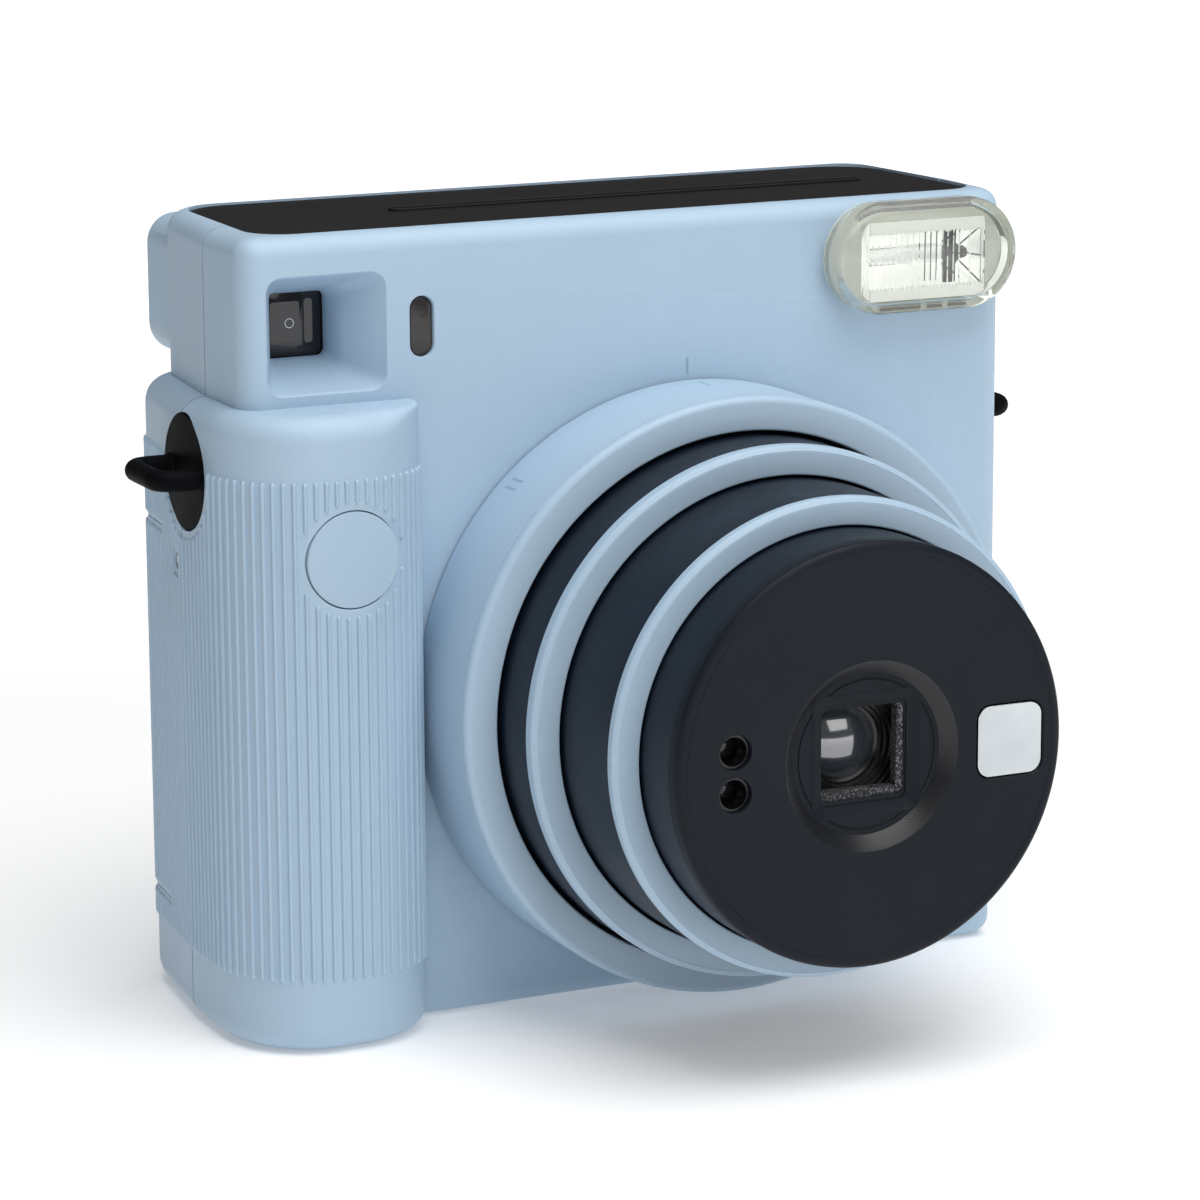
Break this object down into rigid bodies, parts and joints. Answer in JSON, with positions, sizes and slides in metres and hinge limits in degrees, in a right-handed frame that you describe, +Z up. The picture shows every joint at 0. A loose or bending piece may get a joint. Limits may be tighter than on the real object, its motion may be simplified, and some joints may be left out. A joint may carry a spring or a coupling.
{
  "type": "instant camera",
  "caption": "Square-format instant film camera: blue casing with ribbed hand grip, turning power dial, three-stage extending lens barrel, viewfinder, flash and film slot on top.",
  "frame": {"origin": "on the flat base, midway along the nominal width and midway through the body's depth", "axes": "+X to the right in a front view, -Y forward out of the lens, +Z up"},
  "size_m": [0.1445, 0.104, 0.1186],
  "materials": {
    "blue_casing": "fine moulded texture",
    "navy_barrel": "satin",
    "black_plastic": "satin",
    "clear_window": "clear, gloss",
    "dark_window": "gloss",
    "mirror_bright": "polished",
    "steel": "plain",
    "brass_pinion": "machined",
    "white_gear": "plain",
    "rubber_roller": "plain",
    "green_board": "solder mask",
    "battery_sleeve": "printed sleeve, blank",
    "white_disc": "plain",
    "amber_window": "tinted clear"
  },
  "bodies": {
    "casing": {"front_shell": "blue_casing", "rear_shell": "blue_casing", "top_plate": "black_plastic", "viewfinder_window": "dark_window", "viewfinder_tunnel": "black_plastic", "eyepiece_lens": "clear_window", "eyepiece_frame": "black_plastic", "light_sensor_window": "dark_window", "flash_cover": "clear_window", "flash_reflector": "mirror_bright", "flash_tube": "clear_window", "strap_lug_left": "black_plastic", "strap_lug_right": "black_plastic", "side_screw": "steel", "ring_retainer": "steel", "button_spring": "steel", "release_switch": "black_plastic", "light_box": "black_plastic", "film_chamber": "black_plastic", "idler_pin": "steel", "roller_bracket_left": "steel", "roller_bracket_right": "steel", "eject_motor": "steel", "main_board": "green_board", "flash_capacitor": "black_plastic", "battery_chamber": "black_plastic", "upper_battery": "battery_sleeve", "lower_battery": "battery_sleeve", "upper_contact": "steel", "lower_contact": "steel", "counter_window": "clear_window", "door_hinge_pin": "steel"},
    "power_dial": {"dial_ring": "blue_casing"},
    "outer_barrel": {"outer_barrel_tube": "navy_barrel", "outer_barrel_rim": "blue_casing"},
    "middle_barrel": {"middle_barrel_tube": "navy_barrel", "middle_barrel_rim": "blue_casing"},
    "lens_barrel": {"inner_barrel_tube": "navy_barrel", "front_plate": "black_plastic", "selfie_mirror": "mirror_bright", "upper_meter_lens": "dark_window", "lower_meter_lens": "dark_window", "lens_baffle": "black_plastic", "lens_housing": "black_plastic", "front_lens": "clear_window", "shutter_unit": "black_plastic", "rear_lens": "clear_window", "lens_carrier": "black_plastic"},
    "shutter_button": {"shutter_button": "blue_casing"},
    "film_door": {"film_door": "blue_casing", "film_window": "amber_window"},
    "film_door_latch": {"film_door_latch": "blue_casing"},
    "battery_door": {"battery_door": "blue_casing"},
    "drive_roller": {"drive_roller": "rubber_roller", "roller_gear": "white_gear"},
    "pressure_roller": {"pressure_roller": "steel"},
    "idler_gear": {"idler_gear": "white_gear"},
    "motor_pinion": {"motor_pinion": "brass_pinion"},
    "counter_disc": {"counter_disc": "white_disc"}
  },
  "joints": [
    {"name": "power_dial_turn", "type": "hinge", "parent": "casing", "child": "power_dial", "pos_m": [0.0113, -0.022, 0.0482], "axis": [0, 1, 0], "range_deg": [-100, 42.6]},
    {"name": "outer_barrel_slide", "type": "slide", "parent": "casing", "child": "outer_barrel", "axis": [0, -1, 0], "range_m": [-0.0096, 0.0041]},
    {"name": "middle_barrel_slide", "type": "slide", "parent": "casing", "child": "middle_barrel", "axis": [0, -1, 0], "range_m": [-0.0232, 0.0099]},
    {"name": "lens_barrel_slide", "type": "slide", "parent": "casing", "child": "lens_barrel", "axis": [0, -1, 0], "range_m": [-0.0281, 0.012]},
    {"name": "shutter_press", "type": "slide", "parent": "casing", "child": "shutter_button", "axis": [0, 1, 0], "range_m": [0, 0.001], "stiffness_N_per_m": 900, "springref_m": -0.0006},
    {"name": "film_door_hinge", "type": "hinge", "parent": "casing", "child": "film_door", "pos_m": [0.0554, 0.0201, 0.0575], "axis": [0, 0, -1], "range_deg": [0, 90]},
    {"name": "film_door_latch_slide", "type": "slide", "parent": "film_door", "child": "film_door_latch", "axis": [0, 0, 1], "range_m": [0, 0.004], "stiffness_N_per_m": 150, "springref_m": -0.001},
    {"name": "battery_door_hinge", "type": "hinge", "parent": "casing", "child": "battery_door", "pos_m": [-0.044, 0.021, 0.0442], "axis": [0, 0, -1], "range_deg": [0, 90]},
    {"name": "drive_roller_turn", "type": "hinge", "parent": "casing", "child": "drive_roller", "pos_m": [0, -0.0026, 0.1064], "axis": [1, 0, 0], "continuous": true},
    {"name": "pressure_roller_turn", "type": "hinge", "parent": "casing", "child": "pressure_roller", "pos_m": [0, 0.00395, 0.1064], "axis": [1, 0, 0], "continuous": true},
    {"name": "idler_gear_turn", "type": "hinge", "parent": "casing", "child": "idler_gear", "pos_m": [-0.0337, 0.001, 0.09495], "axis": [1, 0, 0], "continuous": true},
    {"name": "motor_pinion_turn", "type": "hinge", "parent": "casing", "child": "motor_pinion", "pos_m": [-0.0337, 0.002, 0.0846], "axis": [1, 0, 0], "continuous": true},
    {"name": "counter_disc_turn", "type": "hinge", "parent": "casing", "child": "counter_disc", "pos_m": [-0.048, 0.0176, 0.084], "axis": [0, 1, 0], "range_deg": [0, 300]}
  ],
  "couplings": [
    {"joint": "outer_barrel_slide", "follows": "power_dial_turn", "m_per_rad": 0.00544},
    {"joint": "middle_barrel_slide", "follows": "power_dial_turn", "m_per_rad": 0.01318},
    {"joint": "lens_barrel_slide", "follows": "power_dial_turn", "m_per_rad": 0.01604},
    {"joint": "pressure_roller_turn", "follows": "drive_roller_turn", "ratio": -1},
    {"joint": "idler_gear_turn", "follows": "drive_roller_turn", "ratio": -0.875},
    {"joint": "motor_pinion_turn", "follows": "drive_roller_turn", "ratio": 1.4}
  ]
}
